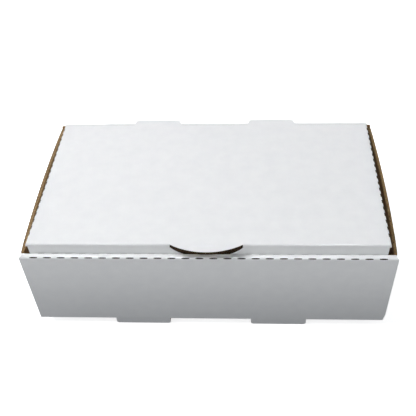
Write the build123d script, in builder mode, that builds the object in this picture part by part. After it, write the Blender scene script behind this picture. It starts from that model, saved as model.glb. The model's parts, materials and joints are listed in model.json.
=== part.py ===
from build123d import *
import os
from math import asin, atan2, cos, degrees, hypot, sin, sqrt

# A one-piece catering box, cut and folded from single-wall corrugated board.
# Millimetres, +Z up, +X to the right of someone who faces the front, front towards -Y.
# The box is drawn level, with its base on Z = 0, and is set down on its foot tabs at the end.

# Board
board = 3.0
liner = 0.4
layer_gap = 0.3
fold_radius = 1.8
overrun = 20.0

# Tray
depth = 195.0
wall_height = 93.0
base_width = 343.0
front_overhang = 1.0
rim_depth = 6.3
rim_end_slant = 2.5
corner_flap_length = 38.0
corner_flap_taper = 9.0
corner_fold_leg = 8.0
worn_corner_width = 1.8
worn_corner_height = 10.0

# Foot tabs of the front wall, and the lock tabs that go down through the holes they leave
foot_tab_width = 55.0
foot_tab_spacing = 136.0
foot_tab_drop = 7.0
foot_tab_radius = 3.0
lock_tab_width = 50.0
lock_tab_chamfer = 1.5
die_clearance = 0.6

# Lid
lid_side_gap = 1.2
lid_taper = 4.0
lid_back_rise = 4.7
lid_front_rise = 11.1
lid_gap = 0.4
tuck_flap_depth = 46.0
tuck_flap_inset = 1.6
tuck_flap_shoulder = 14.0
tuck_flap_taper = 7.0
side_flap_depth = 42.0
side_flap_start = 8.0
side_flap_end_gap = 1.0
side_flap_taper = 12.0
thumb_tab_width = 66.0
thumb_tab_reach = 9.5
vent_tab_width = 52.0
vent_tab_spacing = 126.0
vent_tab_reach = 5.8
vent_tab_taper = 1.6

# Perforations along the folds
slit_slope = 45.0
slit_width = 1.2
rim_slit_length = 6.0
rim_slit_pitch = 12.7
lid_slit_width = 1.1
lid_slit_length = 4.4
lid_slit_pitch = 9.05
lid_slit_start = 10.9

# Sizes and places that follow from these
front_width = base_width + 2 * front_overhang
front_y = -depth / 2
back_y = depth / 2
rim_y = front_y + rim_depth
corner_y = depth / 2 - board - layer_gap
wall_front = rim_y + layer_gap
wall_back = corner_y - corner_fold_leg / 2
flap_bottom = board + layer_gap
flap_top = wall_height - board - layer_gap
inner_wall_width = base_width - 2 * (corner_flap_length + layer_gap)
slit_depth = (board - liner) * sqrt(2)
rim_slit_count = int(front_width / rim_slit_pitch) - 1
hinge_y = back_y - board / 2
hinge_z = wall_height + lid_back_rise - board / 2
back_height = hinge_z - board / 2 - layer_gap
vent_tab_length = board / 2 + vent_tab_reach
sides = (-1, 1)

# The lid slopes up from its hinge, the middle of the fold at the top of the back wall.
lid_reach = hinge_y - rim_y - lid_gap
lid_back_width = base_width - 2 * (board + lid_side_gap)
lid_front_width = lid_back_width - 2 * lid_taper
tuck_flap_width = lid_front_width - 2 * tuck_flap_inset
lid_slope = asin((lid_front_rise - lid_back_rise) / lid_reach)
lid_forward = Vector(0, -cos(lid_slope), sin(lid_slope))
lid_up = Vector(0, sin(lid_slope), cos(lid_slope))
hinge = Vector(0, hinge_y, hinge_z)
lid_section = Plane(origin=hinge, x_dir=lid_forward, z_dir=(-1, 0, 0))
lid_plane = Plane(origin=hinge, x_dir=(1, 0, 0), z_dir=lid_up)
tuck_plane = Plane(origin=hinge + lid_forward * lid_reach, x_dir=(1, 0, 0), z_dir=lid_forward)
tuck_inner = lid_reach - board
tuck_angle = degrees(tuck_flap_depth / lid_reach)
top_angle = degrees(asin(board / 2 / lid_reach))
under_angle = degrees(asin(board / 2 / tuck_inner))
side_flap_bottom = board / 2 + side_flap_depth
side_flap_end = tuck_inner - side_flap_end_gap
lid_slit_run = side_flap_end - lid_slit_start - lid_slit_length / 2
lid_slit_count = int(lid_slit_run / lid_slit_pitch) + 1

# The box leans back, from its foot tabs to the fold under its back wall.
stance_length = depth - board - fold_radius
stance_rise = foot_tab_drop + fold_radius
lean = degrees(
    atan2(stance_rise, stance_length) - asin(fold_radius / hypot(stance_length, stance_rise))
)


def pair(spacing):
    """Two places, the same distance to the left and right of the middle."""
    return [side * spacing / 2 for side in sides]


def row(count, pitch):
    """Evenly spaced places, centred on the middle."""
    return [(index - (count - 1) / 2) * pitch for index in range(count)]


def side_along(side):
    """The way that a side edge of the lid runs, from the hinge to the front."""
    return (lid_forward * lid_reach - Vector(side * lid_taper, 0, 0)).normalized()


def side_outward(side):
    """The way out of the lid, square to one of its side edges."""
    return (lid_forward * lid_taper + Vector(side * lid_reach, 0, 0)).normalized()


def side_corner(side, place):
    """The section across the upper corner of a side edge of the lid, at a distance from the hinge."""
    corner = hinge + Vector(side * lid_back_width / 2, 0, 0) + lid_up * (board / 2)
    return Plane(
        origin=corner + side_along(side) * place, x_dir=side_outward(side), z_dir=side_along(side) * side
    )


with BuildPart() as level_tray:
    # One band of board runs down the back, along the base, up the front, over the rim and down inside it.
    with BuildSketch(Plane.YZ) as band:
        with BuildLine():
            Polyline(
                (back_y, back_height),
                (back_y, 0),
                (front_y, 0),
                (front_y, wall_height),
                (rim_y, wall_height),
                (rim_y, flap_bottom),
                (rim_y - board, flap_bottom),
                (rim_y - board, wall_height - board),
                (front_y + board, wall_height - board),
                (front_y + board, board),
                (back_y - board, board),
                (back_y - board, back_height),
                close=True,
            )
        make_face()
        base_folds = band.vertices().filter_by_position(Axis.Y, -layer_gap, layer_gap)
        rim_folds = band.vertices().filter_by_position(
            Axis.Y, wall_height - layer_gap, wall_height + layer_gap
        )
        fillet(base_folds + rim_folds, fold_radius)
    extrude(amount=front_width / 2, both=True)

    # The base is cut back for the side folds, and the back wall to the width of the base.
    with BuildSketch(Plane.XY):
        with Locations(*[(x, 0) for x in pair(base_width - 2 * board + overrun)]):
            Rectangle(overrun, depth - 2 * board)
    extrude(amount=board, mode=Mode.SUBTRACT)
    with BuildSketch(Plane.XY):
        with Locations(*[(x, back_y) for x in pair(base_width + overrun)]):
            Rectangle(overrun, 2 * board)
    extrude(amount=back_height, mode=Mode.SUBTRACT)

    # The wall inside the rim stops short of the corner flaps.
    with BuildSketch(Plane.XY.offset(board)):
        with Locations(*[(x, rim_y - board / 2) for x in pair(inner_wall_width + front_width)]):
            Rectangle(front_width, board + layer_gap)
    extrude(amount=wall_height - 2 * board, mode=Mode.SUBTRACT)

    # The ends of the rim are cut at a slant.
    with BuildSketch(Plane.XY.offset(wall_height)):
        with BuildLine():
            Polyline(
                (front_width / 2, front_y),
                (front_width / 2 - rim_end_slant, rim_y),
                (front_width / 2 + overrun, rim_y),
                close=True,
            )
        make_face()
        mirror(about=Plane.YZ)
    extrude(amount=-board, mode=Mode.SUBTRACT)

    # The side walls stand up from the base, between the rim and the rear corner folds.
    with BuildSketch(Plane.XZ.offset(-wall_back)) as side_band:
        with BuildLine():
            Polyline(
                (-base_width / 2, wall_height),
                (-base_width / 2, 0),
                (base_width / 2, 0),
                (base_width / 2, wall_height),
                (base_width / 2 - board, wall_height),
                (base_width / 2 - board, board),
                (board - base_width / 2, board),
                (board - base_width / 2, wall_height),
                close=True,
            )
        make_face()
        fillet(side_band.vertices().group_by(Axis.Y)[0], fold_radius)
    extrude(amount=wall_back - wall_front)

    # At each corner the side wall turns inwards, behind the front wall or before the back wall.
    for end, top in zip(sides, (flap_top, wall_height)):
        fold_y = end * corner_y
        with BuildSketch(Plane.XY.offset(flap_bottom)) as corner_fold:
            with BuildLine():
                Polyline(
                    (base_width / 2, fold_y - end * corner_fold_leg),
                    (base_width / 2, fold_y),
                    (base_width / 2 - corner_fold_leg, fold_y),
                    (base_width / 2 - corner_fold_leg, fold_y - end * board),
                    (base_width / 2 - board, fold_y - end * board),
                    (base_width / 2 - board, fold_y - end * corner_fold_leg),
                    close=True,
                )
            make_face()
            fillet(corner_fold.vertices().sort_by_distance((base_width / 2, fold_y))[0], fold_radius)
            mirror(about=Plane.YZ)
        extrude(amount=top - flap_bottom)
        with BuildSketch(Plane.XZ.offset(-fold_y)):
            with BuildLine():
                Polyline(
                    (base_width / 2 - corner_fold_leg / 2, flap_bottom),
                    (base_width / 2 - corner_fold_leg / 2, top),
                    (base_width / 2 - corner_flap_length, top - corner_flap_taper),
                    (base_width / 2 - corner_flap_length, flap_bottom + corner_flap_taper),
                    close=True,
                )
            make_face()
            mirror(about=Plane.YZ)
        extrude(amount=end * board)

    # Two tabs stay in the plane of the front wall, below the base, and leave two holes behind it.
    with BuildSketch(Plane.XY):
        with Locations(*[(x, front_y + board + foot_tab_drop / 2) for x in pair(foot_tab_spacing)]):
            Rectangle(foot_tab_width + 2 * die_clearance, foot_tab_drop)
    extrude(amount=board, mode=Mode.SUBTRACT)
    with BuildSketch(Plane.XZ.offset(-front_y)) as foot_tabs:
        with Locations(*[(x, (board - foot_tab_drop) / 2) for x in pair(foot_tab_spacing)]):
            Rectangle(foot_tab_width, board + foot_tab_drop)
        fillet(foot_tabs.vertices().group_by(Axis.Y)[0], foot_tab_radius)
    extrude(amount=-board)

    # The wall inside the rim locks into those holes with two tabs of its own.
    with BuildSketch(Plane.XZ.offset(board - rim_y)) as lock_tabs:
        with Locations(*[(x, flap_bottom - board / 2) for x in pair(foot_tab_spacing)]):
            Rectangle(lock_tab_width, board)
        chamfer(lock_tabs.vertices().group_by(Axis.Y)[0], lock_tab_chamfer)
    extrude(amount=-board)

    # The tabs of the lid swing through two notches in the top of the back wall.
    with BuildSketch(Plane.XZ.offset(-back_y)):
        with Locations(*[(x, hinge_z) for x in pair(vent_tab_spacing)]):
            Rectangle(vent_tab_width + 2 * die_clearance, 2 * (vent_tab_length + die_clearance))
    extrude(amount=board, mode=Mode.SUBTRACT)

    # Slits go through all but the inner liner at both folds of the rim, each row beside the other's bridges.
    rim_rows = ((front_y, rim_slit_count, -slit_slope), (rim_y, rim_slit_count + 1, slit_slope))
    for fold_y, count, slope in rim_rows:
        with BuildSketch(*[Plane.YZ.offset(x) for x in row(count, rim_slit_pitch)]):
            with Locations((fold_y, wall_height)):
                Rectangle(2 * slit_depth, slit_width, rotation=slope)
        extrude(amount=rim_slit_length / 2, both=True, mode=Mode.SUBTRACT)

    # The lower right corner of the front wall is worn.
    with BuildSketch(Plane.XZ.offset(-front_y)):
        with BuildLine():
            Polyline(
                (front_width / 2 - worn_corner_width, 0),
                (front_width / 2, worn_corner_height),
                (front_width / 2, 0),
                close=True,
            )
        make_face()
    extrude(amount=-board, mode=Mode.SUBTRACT)

with BuildPart() as level_lid:
    # The lid runs from its hinge to the front, where the tuck flap is bowed to the arc that it swings through.
    with BuildSketch(lid_section) as section:
        with BuildLine():
            outer = CenterArc((0, 0), lid_reach, top_angle, -top_angle - tuck_angle)
            inner = CenterArc((0, 0), tuck_inner, -under_angle, under_angle - tuck_angle)
            top_line = Line((0, board / 2), outer @ 0)
            under_line = Line((0, -board / 2), inner @ 0)
            Line(outer @ 1, inner @ 1)
            ThreePointArc(top_line @ 0, (-board / 2, 0), under_line @ 0)
        make_face()
        fillet(section.vertices().sort_by_distance(outer @ 0)[0], fold_radius)
    extrude(amount=lid_back_width / 2, both=True)

    # The sides of the lid draw in towards the front, and the tuck flap is narrower, with tapered ends.
    with BuildSketch(lid_plane):
        with BuildLine():
            Polyline(
                (lid_back_width / 2, 0),
                (lid_front_width / 2, -lid_reach),
                (lid_front_width / 2, -lid_reach - overrun),
                (lid_back_width / 2 + overrun, -lid_reach - overrun),
                (lid_back_width / 2 + overrun, 0),
                close=True,
            )
        make_face()
        mirror(about=Plane.YZ)
    extrude(amount=tuck_flap_depth + overrun, both=True, mode=Mode.SUBTRACT)
    with BuildSketch(tuck_plane):
        with BuildLine():
            Polyline(
                (tuck_flap_width / 2, -board / 2),
                (tuck_flap_width / 2 + overrun, -board / 2),
                (tuck_flap_width / 2 + overrun, -tuck_flap_depth),
                (tuck_flap_width / 2 - tuck_flap_taper, -tuck_flap_depth),
                (tuck_flap_width / 2, -tuck_flap_shoulder),
                close=True,
            )
        make_face()
        mirror(about=Plane.YZ)
    extrude(amount=overrun, both=True, mode=Mode.SUBTRACT)

    # The half-moon thumb tab stays in the plane of the lid and leaves its own hole in the tuck flap.
    with BuildSketch(tuck_plane):
        with BuildLine():
            hole_chord = Line(
                (-thumb_tab_width / 2 - die_clearance, -board / 2),
                (thumb_tab_width / 2 + die_clearance, -board / 2),
            )
            hole_low = (0, -board / 2 - thumb_tab_reach - die_clearance)
            ThreePointArc(hole_chord @ 0, hole_low, hole_chord @ 1)
        make_face()
    extrude(amount=2 * board, both=True, mode=Mode.SUBTRACT)
    with BuildSketch(lid_plane):
        with BuildLine():
            tab_root = Polyline(
                (-thumb_tab_width / 2, -lid_reach),
                (-thumb_tab_width / 2, board - lid_reach),
                (thumb_tab_width / 2, board - lid_reach),
                (thumb_tab_width / 2, -lid_reach),
            )
            ThreePointArc(tab_root @ 0, (0, -lid_reach - thumb_tab_reach), tab_root @ 1)
        make_face()
    extrude(amount=board / 2, both=True)

    # Two tabs run on past the hinge, in the plane of the lid.
    with BuildSketch(lid_plane):
        for x in pair(vent_tab_spacing):
            with BuildLine():
                Polyline(
                    (x - vent_tab_width / 2, -board),
                    (x - vent_tab_width / 2, 0),
                    (x - vent_tab_width / 2 + vent_tab_taper, vent_tab_length),
                    (x + vent_tab_width / 2 - vent_tab_taper, vent_tab_length),
                    (x + vent_tab_width / 2, 0),
                    (x + vent_tab_width / 2, -board),
                    close=True,
                )
            make_face()
    extrude(amount=board / 2, both=True)

    # A flap hangs from each side of the lid, inside the side wall and behind the tuck flap.
    right_corner = hinge + Vector(lid_back_width / 2, 0, 0)
    with BuildSketch(Plane(origin=right_corner, x_dir=side_along(1), z_dir=-side_outward(1))):
        with BuildLine():
            flap_outline = Polyline(
                (sqrt(side_flap_end**2 - side_flap_bottom**2), -side_flap_bottom),
                (side_flap_start + side_flap_taper, -side_flap_bottom),
                (side_flap_start, -board / 2),
                (side_flap_start, 0),
                (side_flap_end, 0),
            )
            RadiusArc(flap_outline @ 0, flap_outline @ 1, -side_flap_end)
        make_face()
    side_flap = extrude(amount=board)
    mirror(side_flap, about=Plane.YZ)

    # The side folds are rounded, and slit through all but the inner liner.
    with BuildSketch(*[side_corner(side, 0) for side in sides]):
        Rectangle(2 * fold_radius, 2 * fold_radius)
        with Locations((-fold_radius, -fold_radius)):
            Circle(fold_radius, mode=Mode.SUBTRACT)
    extrude(amount=lid_back_width, both=True, mode=Mode.SUBTRACT)
    slit_places = [lid_slit_start + index * lid_slit_pitch for index in range(lid_slit_count)]
    with BuildSketch(*[side_corner(side, place) for side in sides for place in slit_places]):
        Rectangle(2 * slit_depth, lid_slit_width, rotation=slit_slope)
    extrude(amount=lid_slit_length / 2, both=True, mode=Mode.SUBTRACT)

# The box is set down, with the middle of its footprint at the origin.
lean_back = Location((0, 0, 0), (-lean, 0, 0))
leaning_box = Compound([level_tray.part, level_lid.part]).moved(lean_back).bounding_box()
footprint = leaning_box.center()
standing = Location((-footprint.X, -footprint.Y, -leaning_box.min.Z)) * lean_back

with BuildPart() as tray:
    with Locations(standing):
        add(level_tray.part)

with BuildPart() as lid:
    with Locations(standing):
        add(level_lid.part)

os.makedirs("parts", exist_ok=True)
tray.part.label = "tray"
export_step(tray.part, "parts/tray.step")
lid.part.label = "lid"
export_step(lid.part, "parts/lid.step")
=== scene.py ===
# %% [markdown]
# # A catering box of white-faced corrugated board
# The box is one blank of single-wall board: a smooth white liner outside, a brown liner inside and a
# wavy sheet, the medium, between them. The CAD model gives every panel, fold and tab at its real size.
# This lesson adds what the eye reads as board: which face is white and which is brown, cut edges with
# open flutes in them, walls that bow a little, a paper crease along the hinge, and the finish of each
# surface.

# %% Load the frame
import json
import math

import bpy
from mathutils import Matrix, Vector


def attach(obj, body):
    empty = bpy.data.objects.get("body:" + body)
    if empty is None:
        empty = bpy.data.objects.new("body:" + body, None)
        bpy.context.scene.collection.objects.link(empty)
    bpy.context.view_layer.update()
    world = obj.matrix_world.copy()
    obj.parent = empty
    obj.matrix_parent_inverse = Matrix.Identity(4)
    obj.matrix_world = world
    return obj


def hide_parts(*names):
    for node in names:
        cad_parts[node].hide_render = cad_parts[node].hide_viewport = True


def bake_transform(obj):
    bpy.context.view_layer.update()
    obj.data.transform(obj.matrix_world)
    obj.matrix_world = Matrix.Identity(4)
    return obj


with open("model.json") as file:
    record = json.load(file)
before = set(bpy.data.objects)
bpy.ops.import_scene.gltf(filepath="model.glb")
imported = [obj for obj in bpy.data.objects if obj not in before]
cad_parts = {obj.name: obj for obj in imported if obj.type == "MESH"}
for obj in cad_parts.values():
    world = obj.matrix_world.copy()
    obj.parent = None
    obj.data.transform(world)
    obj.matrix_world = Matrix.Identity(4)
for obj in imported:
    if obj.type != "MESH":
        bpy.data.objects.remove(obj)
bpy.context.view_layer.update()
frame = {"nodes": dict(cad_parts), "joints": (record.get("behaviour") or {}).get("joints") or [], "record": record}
MM = 0.001


def in_mm(corners):
    """Corners of a box in millimetres, to print."""
    return [[round(v / MM, 1) for v in corner] for corner in corners]


# %% [markdown]
# ## A level box to work on
# The real box stands on two tabs under its front wall, so it leans back by about two degrees. Faces are
# far easier to find while the walls stand straight, so each piece is worked on level and set down at the
# end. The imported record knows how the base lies: its underside is a mount with a place and a normal.

# %% Level and standing
X, Y, Z = Vector((1, 0, 0)), Vector((0, 1, 0)), Vector((0, 0, 1))
underside = frame["record"]["mounts"][0]
lean = math.atan2(-underside["axis"][1], -underside["axis"][2])
standing = Matrix.Translation(underside["pos_m"]) @ Matrix.Rotation(-lean, 4, "X")
level = standing.inverted()
hinge = level @ Vector(frame["joints"][0]["pos_m"])
print(f"leans back {math.degrees(lean):.2f} degrees")
print(f"hinge at y {hinge.y / MM:.1f}, z {hinge.z / MM:.1f} mm")

# %% Sizes of the folded box
BOARD = 3.0 * MM
LINER = 0.4 * MM
FLUTE_PITCH = 6.5 * MM
FOLD = 1.8 * MM
HAIR = 0.1 * MM
WALL_TOP = 93.0 * MM
RIM_DEPTH = 6.3 * MM
OVERHANG = 1.0 * MM
CORNER_FLAP = 38.0 * MM
FOOT_TAB_PLACE, FOOT_TAB_WIDTH, FOOT_TAB_DROP = 68.0 * MM, 55.0 * MM, 7.0 * MM
VENT_TAB_PLACE, VENT_TAB_WIDTH, VENT_TAB_LENGTH = 63.0 * MM, 52.0 * MM, 7.3 * MM
WORN_CORNER = 10.0 * MM


def level_box(node):
    """Lowest and highest corner of a CAD node when the box is level."""
    corners = [level @ vertex.co for vertex in frame["nodes"][node].data.vertices]
    low = Vector([min(c[i] for c in corners) for i in range(3)])
    high = Vector([max(c[i] for c in corners) for i in range(3)])
    return low, high


tray_low, tray_high = level_box("tray")
front_y, back_y = tray_low.y, tray_high.y
half_front = tray_high.x
half_base = half_front - OVERHANG
rim_y = front_y + RIM_DEPTH
print(f"front wall {2 * half_front / MM:.0f} mm wide, box {(back_y - front_y) / MM:.0f} mm deep")

# %% [markdown]
# ## Finishes
# Board shows five surfaces. The outer liner is white and clay coated: matt, a little mottled, and faintly
# ribbed where it dips between the flutes below it. The inner liner is brown paper with long fibres. The
# cut edges are the same paper, rougher and darker. Inside a perforation the paper is painted near black,
# as painted shade of the deep slit. The medium is thinner brown paper. Each one could be a flat colour, but
# paper never is, so noise moves the colour a little and a bump carries the ribs.

# %% Material helpers
def start_material(name, roughness, specular):
    """A new material, with its node tree, its shader and the object's coordinates."""
    material = bpy.data.materials.new(name)
    material.use_nodes = True
    tree = material.node_tree
    shader = tree.nodes["Principled BSDF"]
    shader.inputs["Roughness"].default_value = roughness
    shader.inputs["Specular IOR Level"].default_value = specular
    place = tree.nodes.new("ShaderNodeTexCoord").outputs["Object"]
    return material, tree, shader, place


def stretched(tree, place, scale):
    """The coordinates, scaled by a different amount along each axis."""
    mapping = tree.nodes.new("ShaderNodeMapping")
    mapping.inputs["Scale"].default_value = scale
    tree.links.new(place, mapping.inputs["Vector"])
    return mapping.outputs["Vector"]


def noise(tree, place, scale, detail=3.0):
    """A cloud of values from 0 to 1."""
    node = tree.nodes.new("ShaderNodeTexNoise")
    node.inputs["Scale"].default_value = scale
    node.inputs["Detail"].default_value = detail
    tree.links.new(place, node.inputs["Vector"])
    return node.outputs["Fac"]


def tint(tree, factor, low, dark, high, light):
    """A colour that goes from dark to light as the factor goes from low to high."""
    ramp = tree.nodes.new("ShaderNodeValToRGB")
    ramp.color_ramp.elements[0].position = low
    ramp.color_ramp.elements[0].color = (*dark, 1)
    ramp.color_ramp.elements[1].position = high
    ramp.color_ramp.elements[1].color = (*light, 1)
    tree.links.new(factor, ramp.inputs["Fac"])
    return ramp.outputs["Color"]


def calc(tree, operation, first, second):
    """One step of arithmetic on node values; a plain number is written on the socket."""
    node = tree.nodes.new("ShaderNodeMath")
    node.operation = operation
    for socket, value in zip(node.inputs, (first, second)):
        if isinstance(value, (int, float)):
            socket.default_value = value
        else:
            tree.links.new(value, socket)
    return node.outputs["Value"]


def relief(tree, shader, height):
    """A bump whose height is in metres."""
    bump = tree.nodes.new("ShaderNodeBump")
    bump.inputs["Strength"].default_value = 1.0
    bump.inputs["Distance"].default_value = 1.0
    tree.links.new(height, bump.inputs["Height"])
    tree.links.new(bump.outputs["Normal"], shader.inputs["Normal"])


# %% White liner
RIB_HEIGHT, GRAIN_HEIGHT = 0.014 * MM, 0.02 * MM
CLOUD_SCALE, GRAIN_SCALE = 90.0, 1500.0
WHITE_DARK, WHITE_LIGHT = (0.815, 0.825, 0.83), (0.845, 0.855, 0.855)


def white_liner(name, axis):
    """Clay-coated white paper whose faint ribs repeat along one axis, over the flutes."""
    material, tree, shader, place = start_material(name, roughness=0.55, specular=0.3)
    cloud = noise(tree, place, CLOUD_SCALE)
    mottled = tint(tree, cloud, low=0.3, dark=WHITE_DARK, high=0.7, light=WHITE_LIGHT)
    tree.links.new(mottled, shader.inputs["Base Color"])
    axes = tree.nodes.new("ShaderNodeSeparateXYZ")
    tree.links.new(place, axes.inputs["Vector"])
    turns = calc(tree, "MULTIPLY", axes.outputs[axis], 2 * math.pi / FLUTE_PITCH)
    rib = calc(tree, "MULTIPLY", calc(tree, "SINE", turns, 0.0), RIB_HEIGHT)
    grain = calc(tree, "MULTIPLY", noise(tree, place, GRAIN_SCALE), GRAIN_HEIGHT)
    relief(tree, shader, calc(tree, "ADD", rib, grain))
    return material


white_across = white_liner("white_liner_ribs_along_y", "Y")
white_up = white_liner("white_liner_ribs_along_z", "Z")
print("made", white_across.name, "and", white_up.name)


# %% Brown liner, cut edges, painted slit shade and medium
FIBRE_STRETCH, FIBRE_DETAIL = (0.25, 1.0, 1.0), 5.0


def brown_paper(name, dark, light, fibre, depth):
    """Unbleached paper: long fibres in two tones, with a rough face."""
    material, tree, shader, place = start_material(name, roughness=0.85, specular=0.15)
    fibres = noise(tree, stretched(tree, place, FIBRE_STRETCH), fibre, FIBRE_DETAIL)
    paper_tint = tint(tree, fibres, low=0.35, dark=dark, high=0.65, light=light)
    tree.links.new(paper_tint, shader.inputs["Base Color"])
    relief(tree, shader, calc(tree, "MULTIPLY", fibres, depth))
    return material


kraft = brown_paper(
    "kraft_liner", dark=(0.22, 0.13, 0.062), light=(0.31, 0.19, 0.095), fibre=420.0, depth=0.03 * MM
)
cut_edge = brown_paper(
    "cut_edge", dark=(0.21, 0.137, 0.064), light=(0.44, 0.305, 0.157), fibre=900.0, depth=0.08 * MM
)
# Painted shade: a near-black paper that stands in for the shade deep in the slits, the open flutes and the thumb
# tab's hole.
painted_shade_paper = brown_paper(
    "painted_shade_slits_and_flutes", dark=(0.010, 0.006, 0.003), light=(0.07, 0.040, 0.020), fibre=900.0, depth=0.05 * MM
)
medium = brown_paper(
    "flute_medium", dark=(0.33, 0.215, 0.105), light=(0.55, 0.38, 0.20), fibre=700.0, depth=0.05 * MM
)
FINISHES = (kraft, white_across, white_up, cut_edge, painted_shade_paper)
print("made", [material.name for material in FINISHES], "and", medium.name)

# %% [markdown]
# ## A clean copy of a panel set
# A CAD node arrives as loose triangles. A copy is merged, so that neighbours share their corners, and
# flat neighbours are dissolved into one face, so that a whole panel can be picked at once, as one would
# click on it. A face is told by its place and by how much its normal is turned one way: partly, mostly or
# squarely.

# %% Copy, pick and paint
TOUCHING = 0.001 * MM
FLAT_ANGLE = math.radians(0.5)
PARTLY, MOSTLY, SQUARELY = 0.3, 0.7, 0.9


def copy_node(node, name):
    """A merged, level copy of a CAD node, with one face for each flat panel."""
    bpy.ops.object.select_all(action="DESELECT")
    source = frame["nodes"][node]
    source.select_set(True)
    bpy.context.view_layer.objects.active = source
    bpy.ops.object.duplicate()
    piece = bpy.context.active_object
    piece.name = piece.data.name = name
    piece.parent = None
    for key in list(piece.keys()):
        del piece[key]
    piece.data.transform(level)
    piece.data.materials.clear()
    for material in FINISHES:
        piece.data.materials.append(material)
    bpy.ops.object.mode_set(mode="EDIT")
    bpy.ops.mesh.select_all(action="SELECT")
    bpy.ops.mesh.customdata_custom_splitnormals_clear()
    bpy.ops.mesh.remove_doubles(threshold=TOUCHING)
    bpy.ops.mesh.dissolve_limited(angle_limit=FLAT_ANGLE)
    bpy.ops.object.mode_set(mode="OBJECT")
    print(name, "has", len(piece.data.polygons), "faces")
    return piece


def pick(piece, test):
    """Selects the faces whose middle and normal pass a test."""
    bpy.context.view_layer.objects.active = piece
    bpy.ops.object.mode_set(mode="EDIT")
    bpy.ops.mesh.select_mode(type="FACE")
    bpy.ops.mesh.select_all(action="DESELECT")
    bpy.ops.object.mode_set(mode="OBJECT")
    found = 0
    for face in piece.data.polygons:
        face.select = test(face.center, face.normal)
        found += face.select
    return found


def paint(piece, material, test):
    """Gives a finish to the faces that pass a test."""
    found = pick(piece, test)
    for face in piece.data.polygons:
        if face.select:
            face.material_index = FINISHES.index(material)
    return found


# %% [markdown]
# ## Cut edges
# Where a knife went through the board, two thin liners stand out and the medium sits between them. The
# edge could be painted, but it catches the light and holds a shadow, so it is modelled: the cut face is
# inset by the thickness of a liner and sunk, and a wavy strip of medium is stood in the groove later.

# %% Open the cut edges
GROOVE = 0.9 * MM


def open_edges(piece, test):
    """Insets the picked cut faces by a liner and sinks them between the two liners."""
    found = pick(piece, test)
    bpy.ops.object.mode_set(mode="EDIT")
    bpy.ops.mesh.inset(thickness=LINER, depth=-GROOVE, use_even_offset=True)
    bpy.ops.object.mode_set(mode="OBJECT")
    return found


# %% [markdown]
# ## The tray
# Base, walls and the roll-over rim are one piece. All that faced outwards on the flat blank is white,
# which includes the top of the rim and the face that the roll-over wall shows to the inside. The rest is
# brown. The perforation slits, where the knife went in, are painted near black as painted shade of the slits.

# %% Copy the tray
SLOPE_PLAY = 0.02
tray = copy_node("tray", "tray_board")


def in_rim_slit(middle, normal):
    """A face inside one of the slits along the rim's two folds."""
    near_rim = middle.z > WALL_TOP - 1.5 * BOARD and middle.y < rim_y + 2 * HAIR
    if not near_rim or abs(middle.x) > half_front - BOARD:
        return False
    if abs(normal.x) > SQUARELY:
        return True
    from_fold = min(abs(middle.y - front_y), abs(middle.y - rim_y))
    inward = min(from_fold, WALL_TOP - middle.z)
    return abs(abs(normal.y) - abs(normal.z)) < SLOPE_PLAY and inward > BOARD / 4


def tray_across(middle, normal):
    """White faces whose ribs repeat along Y: the underside, the top of the rim and the side walls."""
    below = normal.z < -MOSTLY and -HAIR < middle.z < FOLD + HAIR
    rim = normal.z > MOSTLY and middle.z > WALL_TOP - FOLD - HAIR and middle.y < rim_y + HAIR
    side = abs(normal.x) > PARTLY and abs(middle.x) > half_base - FOLD - HAIR
    side = side and middle.z < WALL_TOP - BOARD
    side = side and front_y + BOARD + HAIR < middle.y < back_y - BOARD - HAIR
    return (below or rim or side) and not in_rim_slit(middle, normal)


def tray_up(middle, normal):
    """White faces whose ribs repeat along Z: front, back and the roll-over wall's face to the inside."""
    front = normal.y < -PARTLY and middle.y < front_y + FOLD + HAIR
    back = normal.y > PARTLY and middle.y > back_y - FOLD - HAIR
    rolled = normal.y > PARTLY and rim_y - FOLD - HAIR < middle.y < rim_y + HAIR
    rim_ends = abs(normal.x) > MOSTLY and middle.y < rim_y and middle.z > WALL_TOP - BOARD
    return (front or back or rolled or rim_ends) and not in_rim_slit(middle, normal)


print("white faces:", paint(tray, white_up, tray_up), "and", paint(tray, white_across, tray_across))


# %% Cut edges of the tray
def tray_cut(middle, normal):
    """Faces where the blank was cut through: wall tops, wall ends, tabs and notches."""
    side_x = abs(middle.x)
    in_back_wall = middle.y > back_y - BOARD - HAIR
    wall_tops = normal.z > PARTLY and WALL_TOP - 4 * BOARD < middle.z < WALL_TOP + HAIR
    wall_tops = wall_tops and middle.y > rim_y + 2 * HAIR and side_x > half_base - CORNER_FLAP - HAIR
    end = abs(normal.x) > PARTLY
    front_ends = end and side_x > half_front - BOARD and middle.y < front_y + BOARD + HAIR
    front_ends = front_ends and middle.z < WALL_TOP - BOARD
    back_ends = end and side_x > half_base - HAIR and in_back_wall
    notches = in_back_wall and middle.z > WALL_TOP - 2 * BOARD and side_x < VENT_TAB_PLACE + VENT_TAB_WIDTH
    notches = notches and (end or (normal.z > SQUARELY and middle.z < WALL_TOP - BOARD))
    foot_tabs = middle.z < -HAIR / 2 and abs(normal.y) < PARTLY
    flap_ends = end and abs(side_x - half_base + CORNER_FLAP) < HAIR and middle.y > 0
    return wall_tops or front_ends or back_ends or notches or foot_tabs or flap_ends


# The slits in the rim's folds get the near-black painted shade.
print("slit faces:", paint(tray, painted_shade_paper, in_rim_slit))
print("cut faces:", paint(tray, cut_edge, tray_cut))
print("opened:", open_edges(tray, tray_cut))

# %% [markdown]
# ## The lid
# The lid is white above and brown below, with two tabs over the back wall and a thumb tab torn free from
# the tuck flap. It is easiest to read from its hinge: how far forward a face lies along the lid, and how
# high above the middle of the board. The tuck flap at the front is bowed, so its distance from the hinge
# tells it.

# %% Copy the lid
lid = copy_node("lid", "lid_board")
panel = max(lid.data.polygons, key=lambda face: face.area * face.normal.z)
lid_up = panel.normal.copy()
lid_forward = Vector((0, -lid_up.z, lid_up.y))


def on_lid(point):
    """How far a point lies forward along the lid, and above the middle of its board."""
    away = point - hinge
    return away.dot(lid_forward), away.dot(lid_up)


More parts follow.
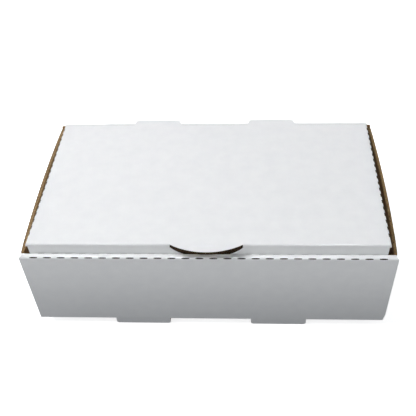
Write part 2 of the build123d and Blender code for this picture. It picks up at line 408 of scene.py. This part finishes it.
outer_half = max(vertex.co.x for vertex in lid.data.vertices)
lid_reach = max(on_lid(vertex.co)[0] for vertex in lid.data.vertices if vertex.co.x > outer_half / 2)
front_half = max(vertex.co.x for vertex in lid.data.vertices if on_lid(vertex.co)[0] > lid_reach - BOARD)
FLAP_DEPTH = 42.0 * MM
print(f"lid {2 * outer_half / MM:.1f} mm wide at the hinge, {2 * front_half / MM:.1f} mm at the front")


def lid_edge(forward):
    """Half the width of the lid at a distance from its hinge."""
    return outer_half + (front_half - outer_half) * forward / lid_reach


def in_lid_slit(middle, normal):
    """A face inside one of the slits along the side folds."""
    forward, above = on_lid(middle)
    side_x = abs(middle.x)
    edge = lid_edge(forward)
    along_fold = 2 * BOARD < forward < lid_reach - 1.5 * BOARD
    if not along_fold or above < -0.75 * BOARD or side_x < edge - 1.4 * BOARD:
        return False
    if abs(normal.dot(lid_forward)) > SQUARELY:
        return True
    inward = min(edge - side_x, BOARD / 2 - above)
    return inward > BOARD / 4 and PARTLY < abs(normal.x) < SQUARELY


def lid_white(middle, normal):
    """White faces of the lid: its top and tabs, the rounded folds and the side flaps' outer faces."""
    forward, above = on_lid(middle)
    top = normal.dot(lid_up) > PARTLY and above > -HAIR - LINER
    edge = lid_edge(forward)
    side = abs(normal.x) > MOSTLY and abs(middle.x) > edge - FOLD - HAIR
    side = side and FOLD < forward < lid_reach - BOARD - HAIR
    return (top or side) and not in_lid_slit(middle, normal)


def tuck_white(middle, normal):
    """The outer face of the tuck flap, and the round of its fold."""
    forward, above = on_lid(middle)
    outside = math.hypot(forward, above) > lid_reach - FOLD - HAIR and forward < lid_reach + HAIR / 2
    return outside and normal.dot(lid_forward) > PARTLY and abs(normal.x) < PARTLY


print("white faces:", paint(lid, white_across, lid_white), "and", paint(lid, white_up, tuck_white))


# %% Cut edges of the lid
def lid_cut(middle, normal):
    """Faces where the blank was cut through: thumb tab, back tabs and the flaps' free edges."""
    forward, above = on_lid(middle)
    outwards, ahead = normal.dot(lid_up), normal.dot(lid_forward)
    distance = math.hypot(forward, above)
    in_tuck_flap = distance > lid_reach - BOARD - HAIR
    in_side_flap = not in_tuck_flap and abs(middle.x) > front_half - 2 * BOARD
    thumb = abs(outwards) < PARTLY and abs(above) < BOARD / 2 and forward > lid_reach + HAIR
    tabs = ahead < -MOSTLY and abs(above) < BOARD / 2 and forward < HAIR - VENT_TAB_LENGTH
    low_edges = outwards < -MOSTLY and above < -FLAP_DEPTH and (in_tuck_flap or in_side_flap)
    tuck_ends = in_tuck_flap and above < -BOARD and abs(normal.x) > MOSTLY
    flap_ends = in_side_flap and abs(ahead) > MOSTLY and above < -BOARD
    return thumb or tabs or low_edges or tuck_ends or flap_ends


def tab_sides(middle, normal):
    """The two short cuts at the sides of a back tab."""
    behind = on_lid(middle)[0] < -HAIR
    return behind and abs(normal.x) > MOSTLY and abs(middle.x) < outer_half - BOARD


THUMB_HALF, THUMB_REACH = 33.0 * MM, 9.5 * MM


def thumb_edges_in_painted_shade(middle, normal):
    """The edges of the thumb tab and of its hole, painted near black as painted shade of the open flutes and the
    hole.
    """
    forward, above = on_lid(middle)
    ahead = forward > lid_reach + HAIR - GROOVE and abs(middle.x) < THUMB_HALF + HAIR
    in_flap = abs(math.hypot(forward, above) - lid_reach + BOARD / 2) < BOARD / 4
    lip = in_flap and abs(middle.x) < THUMB_HALF + BOARD and -2 * THUMB_REACH < above < -BOARD / 2 - HAIR
    return lip or (ahead and abs(above) < BOARD / 2 - HAIR / 2)


# The slits in the side folds get the near-black painted shade.
print("slit faces:", paint(lid, painted_shade_paper, in_lid_slit))
print("cut faces:", paint(lid, cut_edge, lid_cut), "and", paint(lid, cut_edge, tab_sides))
# The thumb tab's edges and the lip of its hole get the near-black painted shade.
print("opened:", open_edges(lid, lid_cut), "with", paint(lid, painted_shade_paper, thumb_edges_in_painted_shade), "dark faces")

# %% [markdown]
# ## The medium in the cut edges
# The flutes run across the blank, so every edge cut across them shows a wave, and every edge cut along
# them shows a single line of medium. A strip is a grid, one row deep, whose columns are moved on to the
# wave; a solidify modifier gives it the thickness of paper.

# %% One strip of medium
PAPER = 0.26 * MM
WAVE = (BOARD - 2 * LINER - PAPER) / 2
SUNK = 0.15 * MM
FLUTE_COLUMNS, LINE_COLUMNS, THUMB_COLUMNS = 10, 24, 90
WANDER_TURNS, WANDER_SHARE = 0.8, 0.6


def strip(name, columns, place):
    """A strip of medium; place(share) gives a point of its edge and the way down into the groove."""
    bpy.ops.object.select_all(action="DESELECT")
    bpy.ops.mesh.primitive_grid_add(x_subdivisions=columns, y_subdivisions=1, size=1.0)
    piece = bpy.context.active_object
    piece.name = piece.data.name = name
    for vertex in piece.data.vertices:
        point, down = place(vertex.co.x + 0.5)
        vertex.co = point + down * (SUNK if vertex.co.y > 0 else GROOVE + HAIR)
    bpy.ops.object.modifier_add(type="SOLIDIFY")
    piece.modifiers["Solidify"].thickness = PAPER
    piece.modifiers["Solidify"].offset = 0.0
    bpy.ops.object.modifier_apply(modifier="Solidify")
    piece.data.materials.append(medium)
    return piece


def wave_strip(name, start, end, across, down, shift=0.0):
    """A strip along an edge that was cut across the flutes."""
    length = (end - start).length

    def place(share):
        turn = 2 * math.pi * (share * length / FLUTE_PITCH + shift)
        return start.lerp(end, share) + across * (WAVE * math.sin(turn)), down

    return strip(name, round(length / FLUTE_PITCH * FLUTE_COLUMNS), place)


def line_strip(name, start, end, across, down, shift=0.0):
    """A strip along an edge that was cut along a flute: one line that wanders a little."""

    def place(share):
        turn = 2 * math.pi * (WANDER_TURNS * share + shift)
        return start.lerp(end, share) + across * (WANDER_SHARE * WAVE * math.sin(turn)), down

    return strip(name, LINE_COLUMNS, place)


def join(pieces, name):
    """Joins several strips into one piece."""
    bpy.ops.object.select_all(action="DESELECT")
    for piece in pieces:
        piece.select_set(True)
    bpy.context.view_layer.objects.active = pieces[0]
    bpy.ops.object.join()
    pieces[0].name = pieces[0].data.name = name
    print(name, "has", len(pieces[0].data.polygons), "faces")
    return pieces[0]


# %% Medium of the tray
tray_strips = []
for side in (-1, 1):
    wall_x = side * (half_base - BOARD / 2)
    ends = [Vector((wall_x, y, WALL_TOP)) for y in (rim_y + LINER * 2, back_y - 2 * BOARD)]
    tray_strips.append(wave_strip("side_top", *ends, X, -Z))
    low = WORN_CORNER + LINER if side > 0 else LINER * 2
    ends = [Vector((side * half_front, front_y + BOARD / 2, z)) for z in (low, WALL_TOP - BOARD - LINER)]
    tray_strips.append(wave_strip("front_end", *ends, Y, -side * X, shift=0.3))
    ends = [Vector((side * half_base, back_y - BOARD / 2, z)) for z in (FOLD, tray_high.z - LINER)]
    tray_strips.append(wave_strip("back_end", *ends, Y, -side * X, shift=0.6))
    tab_half = FOOT_TAB_WIDTH / 2 - BOARD
    tab_ends = [side * FOOT_TAB_PLACE + end * tab_half for end in (-1, 1)]
    ends = [Vector((x, front_y + BOARD / 2, -FOOT_TAB_DROP)) for x in tab_ends]
    tray_strips.append(line_strip("foot_tab", *ends, Y, Z, shift=0.2 * side))
tray_flutes = join(tray_strips, "tray_flutes")

# %% Medium of the lid
THUMB_MEDIUM_SHARE = 0.97
thumb_radius = (THUMB_HALF**2 + THUMB_REACH**2) / (2 * THUMB_REACH)
thumb_angle = math.asin(THUMB_HALF / thumb_radius)
thumb_middle = hinge + lid_forward * (lid_reach + THUMB_REACH - thumb_radius)


def thumb_place(share):
    """A point on the round edge of the thumb tab, which crosses the flutes at a low angle."""
    angle = (2 * share - 1) * thumb_angle * THUMB_MEDIUM_SHARE
    out = X * math.sin(angle) + lid_forward * math.cos(angle)
    point = thumb_middle + out * thumb_radius
    turn = 2 * math.pi * on_lid(point)[0] / FLUTE_PITCH
    return point + lid_up * (WAVE * math.sin(turn)), -out


lid_strips = [strip("thumb_medium", THUMB_COLUMNS, thumb_place)]
# The medium in the thumb tab's edge gets the near-black painted shade as well.
lid_strips[0].data.materials[0] = painted_shade_paper
FLAP_START, FLAP_END = 22.0 * MM, 176.0 * MM
for side in (-1, 1):
    along = (lid_forward * lid_reach + X * side * (front_half - outer_half)).normalized()
    corner = hinge + X * side * (outer_half - BOARD / 2) - lid_up * (FLAP_DEPTH + BOARD / 2)
    ends = [corner + along * place for place in (FLAP_START, FLAP_END)]
    lid_strips.append(wave_strip("flap_edge", *ends, X, lid_up, shift=0.1))
    back = hinge - lid_forward * VENT_TAB_LENGTH
    tab_ends = [side * VENT_TAB_PLACE + end * (VENT_TAB_WIDTH / 2 - BOARD) for end in (-1, 1)]
    ends = [back + X * x for x in tab_ends]
    lid_strips.append(line_strip("back_tab", *ends, lid_up, lid_forward, shift=0.3 * side))
lid_flutes = join(lid_strips, "lid_flutes")

# %% [markdown]
# ## Side walls that bow
# The lid's side flaps push the side walls outwards, most of all half way along their tops, so the cut
# edges beside the lid are gentle curves. A flat face can't bend, so each wall is first cut into smaller
# faces by a row of planes. Then every corner moves outwards by a smooth amount, and the medium in the
# cut edge with it.

# %% Bow the side walls
BOW = 2.6 * MM
ALONG_POWER, UP_POWER = 0.7, 1.5
COLUMNS, ROWS = 14, 5
wall_back = back_y - BOARD


def bow(point):
    """How far a point of the tray is pushed outwards: nothing at the base and at both ends of a wall."""
    share = (point.y - rim_y) / (wall_back - rim_y)
    if abs(point.x) < half_base - BOARD - HAIR or not 0 < share < 1 or point.z < 0:
        return 0.0
    return BOW * math.sin(math.pi * share) ** ALONG_POWER * (point.z / WALL_TOP) ** UP_POWER


def on_side_wall(middle, normal):
    """A face of a side wall."""
    return abs(middle.x) > half_base - BOARD - HAIR and rim_y < middle.y < wall_back


def cut_walls(point, normal):
    """Cuts the faces of both side walls along a plane."""
    pick(tray, on_side_wall)
    bpy.ops.object.mode_set(mode="EDIT")
    bpy.ops.mesh.bisect(plane_co=point, plane_no=normal)
    bpy.ops.object.mode_set(mode="OBJECT")


for column in range(1, COLUMNS):
    cut_walls((0, rim_y + (wall_back - rim_y) * column / COLUMNS, 0), Y)
for row in range(1, ROWS):
    cut_walls((0, 0, WALL_TOP * row / ROWS), Z)
for piece in (tray, tray_flutes):
    for vertex in piece.data.vertices:
        vertex.co.x += math.copysign(bow(vertex.co), vertex.co.x)
print("the tray now has", len(tray.data.polygons), "faces, and its walls bow by", BOW / MM, "mm")

# %% [markdown]
# ## Gaping slits and a lid that springs wider
# A perforated fold gapes: its slits open into small lenses as the flap goes down, so their corners slide
# apart around the fold, most of all half way along a slit. The thumb tab leaves a hole that is torn a
# little lower than the tab itself. Board also springs back: the side flaps push out towards the walls,
# and the lid grows wider towards its free front, where nothing holds it. The sides, their flaps and the
# ends of the tuck flap move out together, more with every step forward.

# %% Gape of the perforations
SLIT_CUTS = 3
FOLD_MIDDLE = math.pi / 4


def side_fold(point):
    """Where a point lies along and around a side fold of the lid, and the ways along, out and up there."""
    forward, above = on_lid(point)
    out = X * math.copysign(1.0, point.x)
    around = abs(point.x) - lid_edge(forward) + FOLD, above - BOARD / 2 + FOLD
    return forward, *around, lid_forward, out, lid_up


def rim_fold(point):
    """The same for the fold between the front wall and the rim."""
    return point.x, front_y + FOLD - point.y, point.z - WALL_TOP + FOLD, X, -Y, Z


def slit_corners(piece, test, fold):
    """The corners of the slits that lie on the rounded outside of a fold."""
    pick(piece, test)
    corners = {index for face in piece.data.polygons if face.select for index in face.vertices}
    places = {index: fold(piece.data.vertices[index].co) for index in corners}
    return {index: p for index, p in places.items() if abs(math.hypot(p[1], p[2]) - FOLD) < HAIR}


def gape(piece, test, fold, middle_width, end_width, stretch):
    """Cuts the long edges of the slits into short ones and shapes each slit as a lens.

    The two widths and the stretch are shares of the width and the length that the slit has before.
    """
    corners = slit_corners(piece, test, fold)
    slit_edges = {key for face in piece.data.polygons if face.select for key in face.edge_keys}
    for item in (*piece.data.vertices, *piece.data.polygons):
        item.select = False
    spans = []
    for edge in piece.data.edges:
        ends = [corners[index][0] for index in edge.vertices if index in corners]
        edge.select = edge.key in slit_edges and len(ends) == 2 and abs(ends[0] - ends[1]) > BOARD
        if edge.select:
            spans.append(((ends[0] + ends[1]) / 2, abs(ends[0] - ends[1]) / 2))
    bpy.context.view_layer.objects.active = piece
    bpy.ops.object.mode_set(mode="EDIT")
    bpy.ops.mesh.select_mode(type="EDGE")
    bpy.ops.mesh.subdivide(number_cuts=SLIT_CUTS)
    bpy.ops.object.mode_set(mode="OBJECT")
    for index, (along, out, rise, along_way, out_way, up_way) in slit_corners(piece, test, fold).items():
        middle, half = min(spans, key=lambda span: abs(span[0] - along))
        share = min(1.0, abs(along - middle) / half)
        width = end_width + (middle_width - end_width) * math.sqrt(1 - share**2)
        angle = FOLD_MIDDLE + (math.atan2(rise, out) - FOLD_MIDDLE) * width
        point = piece.data.vertices[index].co
        point += out_way * (FOLD * math.cos(angle) - out) + up_way * (FOLD * math.sin(angle) - rise)
        point += along_way * (along - middle) * (stretch - 1)
    print(piece.name, "has", len(spans) // 2, "gaping slits")


gape(lid, in_lid_slit, side_fold, middle_width=2.4, end_width=1.5, stretch=1.0)
gape(tray, in_rim_slit, rim_fold, middle_width=1.15, end_width=0.65, stretch=1.2)

# %% Hole below the thumb tab
HOLE_DROP = 3.6 * MM
HOLE_POWER = 4
for vertex in lid.data.vertices:
    forward, above = on_lid(vertex.co)
    share = abs(vertex.co.x) / (THUMB_HALF + BOARD / 2)
    in_flap = abs(math.hypot(forward, above) - lid_reach + BOARD / 2) < BOARD / 2 + HAIR
    if share < 1 and in_flap and -2 * THUMB_REACH < above < -BOARD / 2 - HAIR:
        vertex.co -= lid_up * HOLE_DROP * (1 - share**HOLE_POWER)
print("the thumb tab's hole reaches", HOLE_DROP / MM, "mm lower than its tab")

# %% Spread the lid
SPREAD = 1.9 * MM
for piece in (lid, lid_flutes):
    for vertex in piece.data.vertices:
        if abs(vertex.co.x) > outer_half / 2:
            share = max(0.0, on_lid(vertex.co)[0] / lid_reach)
            vertex.co.x += math.copysign(SPREAD * share, vertex.co.x)
print("the lid spreads by", SPREAD / MM, "mm at each side of its front")

# %% [markdown]
# ## The crease at the hinge
# The white liner runs over the fold at the top of the back wall in one piece, and only the board inside
# is crushed. In the CAD model the lid turns as a round bead just above the wall, with a hair of clearance.
# A thin strip of liner covers that line, rolled out as a profile. If all of it went with the lid, its
# white side would show inside the open box; it goes with neither the wall nor the lid. It stops at the two
# tabs, where the fold is cut.

# %% Roll out the crease
BEAD_STEPS, PARTING_STEP = 8, 5.5
CREASE_COLUMNS = 6
bead = BOARD / 2 + HAIR
wall_line = Vector((0, back_y + HAIR, tray_high.z))
profile = [wall_line - Z * drop for drop in (BOARD, BOARD / 2, 0)]
turn = math.pi / 2 + math.asin(lid_forward.z)
for step in range(BEAD_STEPS + 1):
    angle = turn * step / BEAD_STEPS
    profile.append(hinge + (Y * math.cos(angle) + Z * math.sin(angle)) * bead)
profile += [hinge + lid_up * bead + lid_forward * reach for reach in (BOARD / 2, BOARD)]
tab_gap = VENT_TAB_WIDTH / 2 + LINER * 2
crease_ends = (-outer_half, -VENT_TAB_PLACE - tab_gap, tab_gap - VENT_TAB_PLACE)
crease_ends += tuple(-x for x in reversed(crease_ends))
creases = []
for low_x, high_x in zip(crease_ends[::2], crease_ends[1::2]):
    bpy.ops.object.select_all(action="DESELECT")
    bpy.ops.mesh.primitive_grid_add(
        x_subdivisions=len(profile) - 1, y_subdivisions=CREASE_COLUMNS, size=1.0
    )
    piece = bpy.context.active_object
    for vertex in piece.data.vertices:
        line = profile[round((vertex.co.x + 0.5) * (len(profile) - 1))]
        vertex.co = line + X * (low_x + (high_x - low_x) * (vertex.co.y + 0.5))
    piece.data.materials.append(white_across)
    creases.append(piece)
crease = join(creases, "hinge_crease")
bpy.ops.object.mode_set(mode="EDIT")
bpy.ops.mesh.select_all(action="SELECT")
bpy.ops.mesh.normals_make_consistent(inside=False)
bpy.ops.object.mode_set(mode="OBJECT")
crease.data.materials.append(kraft)
bpy.ops.object.modifier_add(type="SOLIDIFY")
sheet = crease.modifiers["Solidify"]
sheet.thickness, sheet.offset = HAIR / 2, -1.0
sheet.material_offset = sheet.material_offset_rim = 1
bpy.ops.object.modifier_apply(modifier="Solidify")
print("crease runs through", len(profile), "points, white outside and brown inside")

# %% [markdown]
# ## Shade and set down
# Folds are rounded and panels are flat, and both should read that way: edges are smooth below thirty
# degrees, and normals are weighted by area so that a wide panel isn't bent by the small faces of its
# fold. Then every piece is set down on its tabs, where the CAD model stands.

# %% Finish the meshes
SMOOTH_ANGLE = math.radians(30)
pieces = (tray, lid, tray_flutes, lid_flutes, crease)
for piece in pieces:
    bpy.ops.object.select_all(action="DESELECT")
    piece.select_set(True)
    bpy.context.view_layer.objects.active = piece
    bpy.ops.object.shade_smooth_by_angle(angle=SMOOTH_ANGLE)
    bpy.ops.object.modifier_add(type="WEIGHTED_NORMAL")
    piece.modifiers[-1].keep_sharp = True
    bpy.ops.object.modifier_apply(modifier=piece.modifiers[-1].name)
    piece.data.transform(standing)
    print(piece.name, "stands with", len(piece.data.polygons), "faces")

# %% Join the pieces to the bodies
for piece, body in ((tray, "tray"), (tray_flutes, "tray"), (lid, "lid"), (lid_flutes, "lid")):
    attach(piece, body)
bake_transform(crease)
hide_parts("tray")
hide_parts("lid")
print("pieces:", [piece.name for piece in pieces])

# %% [markdown]
# ## Floor, light and camera
# White board needs little: a soft light from the upper left, which leaves the gap along the lid's right
# side in shade, and a dim sky. A second soft light in front has a grid, so that its beam stays narrow: it
# lights the lid, the rim and the top of the front wall, which falls away to grey towards the floor. The
# floor and the sky are white to the camera, the floor keeps the box's shadow, and the light that they
# send to the box is dimmer. A white card could be hung behind instead, but it would light the box too.

# %% Floor
FLOOR_WIDTH = 8.0
FLOOR_BOUNCE, FLOOR_SEEN, FLOOR_GLOW = (0.37, 0.374, 0.39), (0.9, 0.9, 0.9), 0.75


def seen_by_eye(tree):
    """1 where the camera looks, straight or in a reflection, and 0 for the light that falls on the box."""
    rays = tree.nodes.new("ShaderNodeLightPath")
    seen = calc(tree, "MAXIMUM", rays.outputs["Is Camera Ray"], rays.outputs["Is Glossy Ray"])
    return calc(tree, "MAXIMUM", seen, rays.outputs["Is Transmission Ray"])


bpy.ops.object.select_all(action="DESELECT")
bpy.ops.mesh.primitive_plane_add(size=FLOOR_WIDTH)
floor = bpy.context.active_object
floor.name = "floor"
paper, tree, shader, place = start_material("studio_floor", roughness=0.9, specular=0.0)
seen = seen_by_eye(tree)
floor_tint = tint(tree, seen, low=0.0, dark=FLOOR_BOUNCE, high=1.0, light=FLOOR_SEEN)
tree.links.new(floor_tint, shader.inputs["Base Color"])
shader.inputs["Emission Color"].default_value = (1, 1, 1, 1)
tree.links.new(calc(tree, "MULTIPLY", seen, FLOOR_GLOW), shader.inputs["Emission Strength"])
floor.data.materials.append(paper)
print("floor", FLOOR_WIDTH, "m wide")

# %% Sky
SKY_LIGHT, SKY_SEEN = (0.282, 0.291, 0.3), (1.0, 1.0, 1.0)
world = bpy.data.worlds.new("studio")
world.use_nodes = True
tree = world.node_tree
sky = tree.nodes["Background"]
sky_tint = tint(tree, seen_by_eye(tree), low=0.0, dark=SKY_LIGHT, high=1.0, light=SKY_SEEN)
tree.links.new(sky_tint, sky.inputs["Color"])
bpy.context.scene.world = world
print("sky", world.name)

# %% Soft lights
KEY_PLACE, FILL_PLACE = Vector((-1.4, 0.1, 1.8)), Vector((-0.1, -0.92, 1.06))
FILL_TILT, FILL_SPREAD = math.radians(45), math.radians(5)


def softbox(name, place, turn, width, height, power):
    """A rectangular soft light, turned from looking straight down."""
    bpy.ops.object.light_add(type="AREA", location=place, rotation=turn)
    light = bpy.context.active_object
    light.name = light.data.name = name
    light.data.shape = "RECTANGLE"
    light.data.size, light.data.size_y = width, height
    light.data.energy = power
    print(name, power, "W at", tuple(round(v, 2) for v in place))
    return light


key_turn = (Z * tray_high.z - KEY_PLACE).to_track_quat("-Z", "Y").to_euler()
softbox("key_softbox", KEY_PLACE, key_turn, width=1.0, height=0.8, power=32.8)
fill = softbox("gridded_softbox", FILL_PLACE, (FILL_TILT, 0, 0), width=0.9, height=0.27, power=0.23)
fill.data.spread = FILL_SPREAD

# %% Camera
FRAME_PIXELS, FOCAL_PIXELS = 416, 638.0
CENTRE_X, CENTRE_Y = 220.0, 216.6
SENSOR_WIDTH = 36.0
YAW, TILT, ROLL = -3.70, 45.32, -2.53
EYE_X, EYE_BEFORE_FRONT, EYE_Z = 38.4 * MM, 376.6 * MM, 528.6 * MM
bpy.ops.object.camera_add()
camera = bpy.context.active_object
bpy.context.scene.camera = camera
yaw, tilt, roll = (math.radians(angle) for angle in (YAW, TILT, ROLL))
ahead = Vector((math.sin(yaw) * math.cos(tilt), math.cos(yaw) * math.cos(tilt), -math.sin(tilt)))
right = Vector((math.cos(yaw), -math.sin(yaw), 0))
up = right.cross(ahead)
right, up = right * math.cos(roll) + up * math.sin(roll), up * math.cos(roll) - right * math.sin(roll)
turned = Matrix((right, up, -ahead)).transposed().to_4x4()
eye = Vector((EYE_X, front_y - EYE_BEFORE_FRONT, EYE_Z))
camera.matrix_world = standing @ Matrix.Translation(eye) @ turned
camera.data.sensor_width = SENSOR_WIDTH
camera.data.lens = FOCAL_PIXELS / FRAME_PIXELS * SENSOR_WIDTH
camera.data.shift_x = 0.5 - CENTRE_X / FRAME_PIXELS
camera.data.shift_y = CENTRE_Y / FRAME_PIXELS - 0.5
bpy.context.scene.view_settings.view_transform = "Standard"
print("camera at", in_mm([camera.matrix_world.translation])[0], "mm, lens", round(camera.data.lens, 1))
